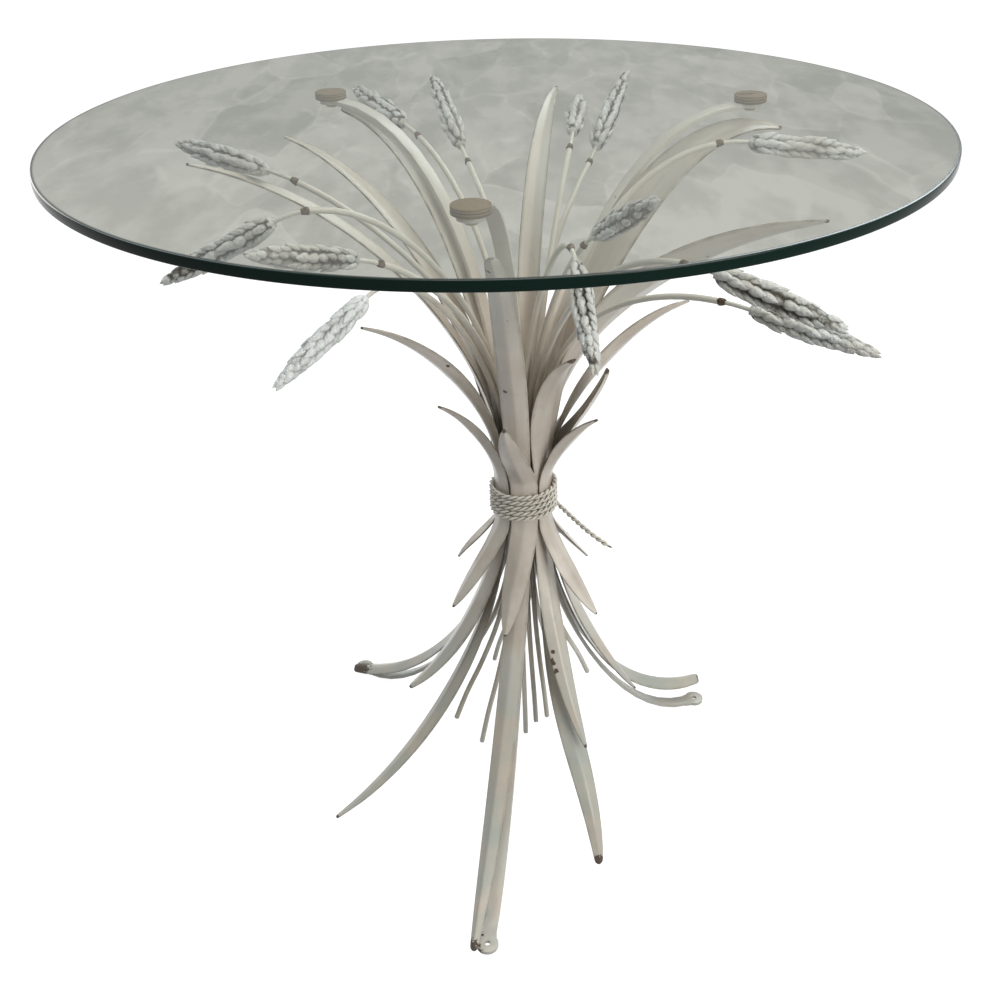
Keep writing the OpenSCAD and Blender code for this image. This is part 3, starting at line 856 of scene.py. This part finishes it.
def eased(name, new_name, material, width):
    """A CAD node with its sharp edges rounded over to this width."""
    bm = merged(name)
    bmesh.ops.dissolve_limit(bm, angle_limit=math.radians(0.4), verts=bm.verts, edges=bm.edges)
    mesh = bpy.data.meshes.new(new_name)
    bm.to_mesh(mesh)
    bm.free()
    mesh.materials.append(material)
    mesh.shade_smooth()
    thing = placed(new_name, mesh)
    bevel = thing.modifiers.new("edges", "BEVEL")
    bevel.width = width
    bevel.segments = 3
    bevel.limit_method = "ANGLE"
    bevel.angle_limit = math.radians(35)
    bevel.harden_normals = True
    bpy.context.view_layer.update()
    seen = thing.evaluated_get(bpy.context.evaluated_depsgraph_get())
    thing.data = bpy.data.meshes.new_from_object(seen)
    thing.modifiers.clear()
    thing.data.set_sharp_from_angle(angle=math.radians(40))
    stands_for(thing, name)


GLASS_SIDES = 288


def make_glass(material):
    """The round pane with its edge ground and polished to a soft arris."""
    r, low, high = GLASS_R, GLASS_LOW, GLASS_HIGH
    corner = [(r - ARRIS + ARRIS * math.sin(t), ARRIS - ARRIS * math.cos(t))
              for t in np.linspace(0, math.pi / 2, 5)]
    face = [0.002, r * 0.5, r - 0.004, r - 0.0015]
    profile = [(q, low) for q in face] + [(q, low + rise) for q, rise in corner]
    profile += [(q, high - rise) for q, rise in reversed(corner)]
    profile += [(q, high) for q in reversed(face)]
    angles = np.arange(GLASS_SIDES) * 2 * math.pi / GLASS_SIDES
    rings = np.array([[(q * math.cos(t), q * math.sin(t), z) for t in angles]
                      for q, z in profile])
    stands_for(skin("glass_pane", rings, {}, material), "glass_top", "glass")


# Floor and light

FLOOR_REACH = 24
# The wall that shows through the glass, which glows with painted light and shade: the size of its
# facets and its two tones
FACET = 1 / 6.5
WALL_DARK, WALL_PALE = (0.31, 0.32, 0.29), (0.565, 0.565, 0.52)


def make_floor():
    """The studio floor: white where it is seen, a grey crumpled wall that glows with painted light
    and shade on its facets and creases where it is seen through the glass, and plain grey for the
    light that it throws back."""
    f = Finish("studio_floor")
    path = f.node("ShaderNodeLightPath", out="Is Camera Ray")
    seen = path.does("MAXIMUM", f.more(path, "Is Glossy Ray"))
    seen = seen.does("MAXIMUM", f.more(path, "Is Transmission Ray"))
    through = f.more(path, "Transparent Depth") > 0.5
    ground = f.place
    f.place = f.vectors("MULTIPLY", ground, (1.0, 0.4, 1.0))
    bent = f.node("ShaderNodeTexNoise", {}, {"Vector": f.place, "Scale": 4.0, "Detail": 2.0},
                  "Color")
    bent = f.vectors("MULTIPLY_ADD", bent, (0.16, 0.16, 0.16), f.place)
    fold = f.cells("DISTANCE_TO_EDGE", FACET, bent)
    crease = f.step(fold, 0.09, 0.0) * f.step(f.noise(0.11, 3), 0.48, 0.62)
    facet = f.node("ShaderNodeSeparateXYZ", {}, {0: f.cells("F1", FACET, bent, "Color")})
    near = f.step(f.node("ShaderNodeSeparateXYZ", {}, {0: ground}, "Y"), 2.5, 1.4)
    # Random tone with painted light and shade: facets and creases of the crumpled wall lighter and
    # darker, and paler nearer the table
    wall_tone_and_painted_light = f.step(f.noise(0.12, 5, 0.6), 0.38, 0.62) * 0.4
    wall_tone_and_painted_light = wall_tone_and_painted_light + facet * 0.4 + crease * 0.3 + near * 0.3
    away = f.vectors("LENGTH", ground, out="Value")
    glow = f.colour(f.step(away, 1.0, 4.0), (0.94, 0.94, 0.94), (1, 1, 1))
    white = f.node("ShaderNodeAddShader", {}, {
        0: f.node("ShaderNodeBsdfDiffuse", {}, {"Color": (0.26, 0.26, 0.26, 1)}),
        1: f.node("ShaderNodeEmission", {}, {"Color": glow, "Strength": 1.0})})
    wall = f.node("ShaderNodeEmission", {},
                  {"Color": f.colour(wall_tone_and_painted_light, WALL_DARK, WALL_PALE), "Strength": 1.0})
    plain = f.node("ShaderNodeBsdfDiffuse", {}, {"Color": (0.30, 0.31, 0.32, 1)})
    material = f.end(f.mix(seen, plain, f.mix(through, white, wall)))
    corners = [(x * FLOOR_REACH, y * FLOOR_REACH, 0)
               for x, y in ((-1, -1), (1, -1), (1, 1), (-1, 1))]
    mesh_object("floor", corners, [(0, 1, 2, 3)], {}, material)


# Lamps as name, place, height aimed at on the axis, width, watts and colour. They are wide, so
# that their images in the glass stay faint.
LAMPS = (("key", (1.05, -1.2, 0.9), 0.3, 1.1, 15.5, (1, 0.985, 0.95)),
         ("overhead", (0.3, -0.3, 2.0), 0.4, 1.5, 15, (1, 0.95, 0.89)),
         ("window", (0.9, 1.1, 1.6), 0.45, 1.3, 17, (0.88, 0.95, 1)),
         ("left_window", (-1.0, 0.3, 1.6), 0.5, 1.1, 6, (0.82, 0.92, 1)),
         ("back_fill", (-1.6, 1.3, 0.9), 0.3, 1.2, 8, (1, 0.97, 0.93)))
AMBIENT, MIRRORED = (0.155, 0.152, 0.145), (0.40, 0.41, 0.41)


def lamp(name, place, aim, size, power, colour):
    data = bpy.data.lights.new(name, "AREA")
    data.shape = "DISK"
    data.size = size
    data.energy = power
    data.color = colour
    turn = (Vector(place) - Vector((0, 0, aim))).to_track_quat("Z", "Y").to_matrix().to_4x4()
    placed(name, data).matrix_world = Matrix.Translation(place) @ turn


def light_up():
    """White behind the table, dimmer where the room shows in a surface or lights it."""
    world = bpy.data.worlds.new("studio")
    bpy.context.scene.world = world
    world.use_nodes = True
    sky = Tree(world.node_tree)
    path = sky.node("ShaderNodeLightPath", out="Is Glossy Ray")
    room = sky.colour(path, AMBIENT, MIRRORED)
    room = sky.colour(sky.more(path, "Is Camera Ray"), room, (1, 1, 1))
    sky.tree.links.new(room.socket, sky.tree.nodes["Background"].inputs["Color"])
    for values in LAMPS:
        lamp(*values)


def main():
    place_camera()
    leaf_paint = enamel("leaf_enamel", *LEAF_TONES_AND_LIGHT, edges=True)
    rod_paint = enamel("rod_enamel", *ROD_TONES_AND_LIGHT, roughness=0.38, chips=0.6)
    bar_paint = enamel("bar_enamel", *BAR_TONES_AND_LIGHT, roughness=0.36)
    for part in frame["record"]["subparts"]:
        if part["node"].endswith("_leaf"):
            make_leaf(part["node"], leaf_paint)
    ear_paint, braze = ear_enamel(), solder()
    forge = ear_forge(ear_paint)
    for number in range(1, STALKS + 1):
        make_stalk(number, rod_paint)
        make_ear(number, forge, rod_paint, braze)
    make_rope(rope_enamel())
    for side in ("front", "right", "left"):
        eased(side + "_bar", side + "_flat_bar", bar_paint, 0.0005)
    eased("glass_pads", "pad_discs", pad_rubber(), 0.0006)
    eased("pad_screws", "screw_heads", plated_steel(), 0.0005)
    nodes["core_post"].data.materials.clear()
    nodes["core_post"].data.materials.append(rod_paint)
    make_glass(float_glass())
    make_floor()
    light_up()
    bpy.context.scene.view_settings.view_transform = "Standard"


main()
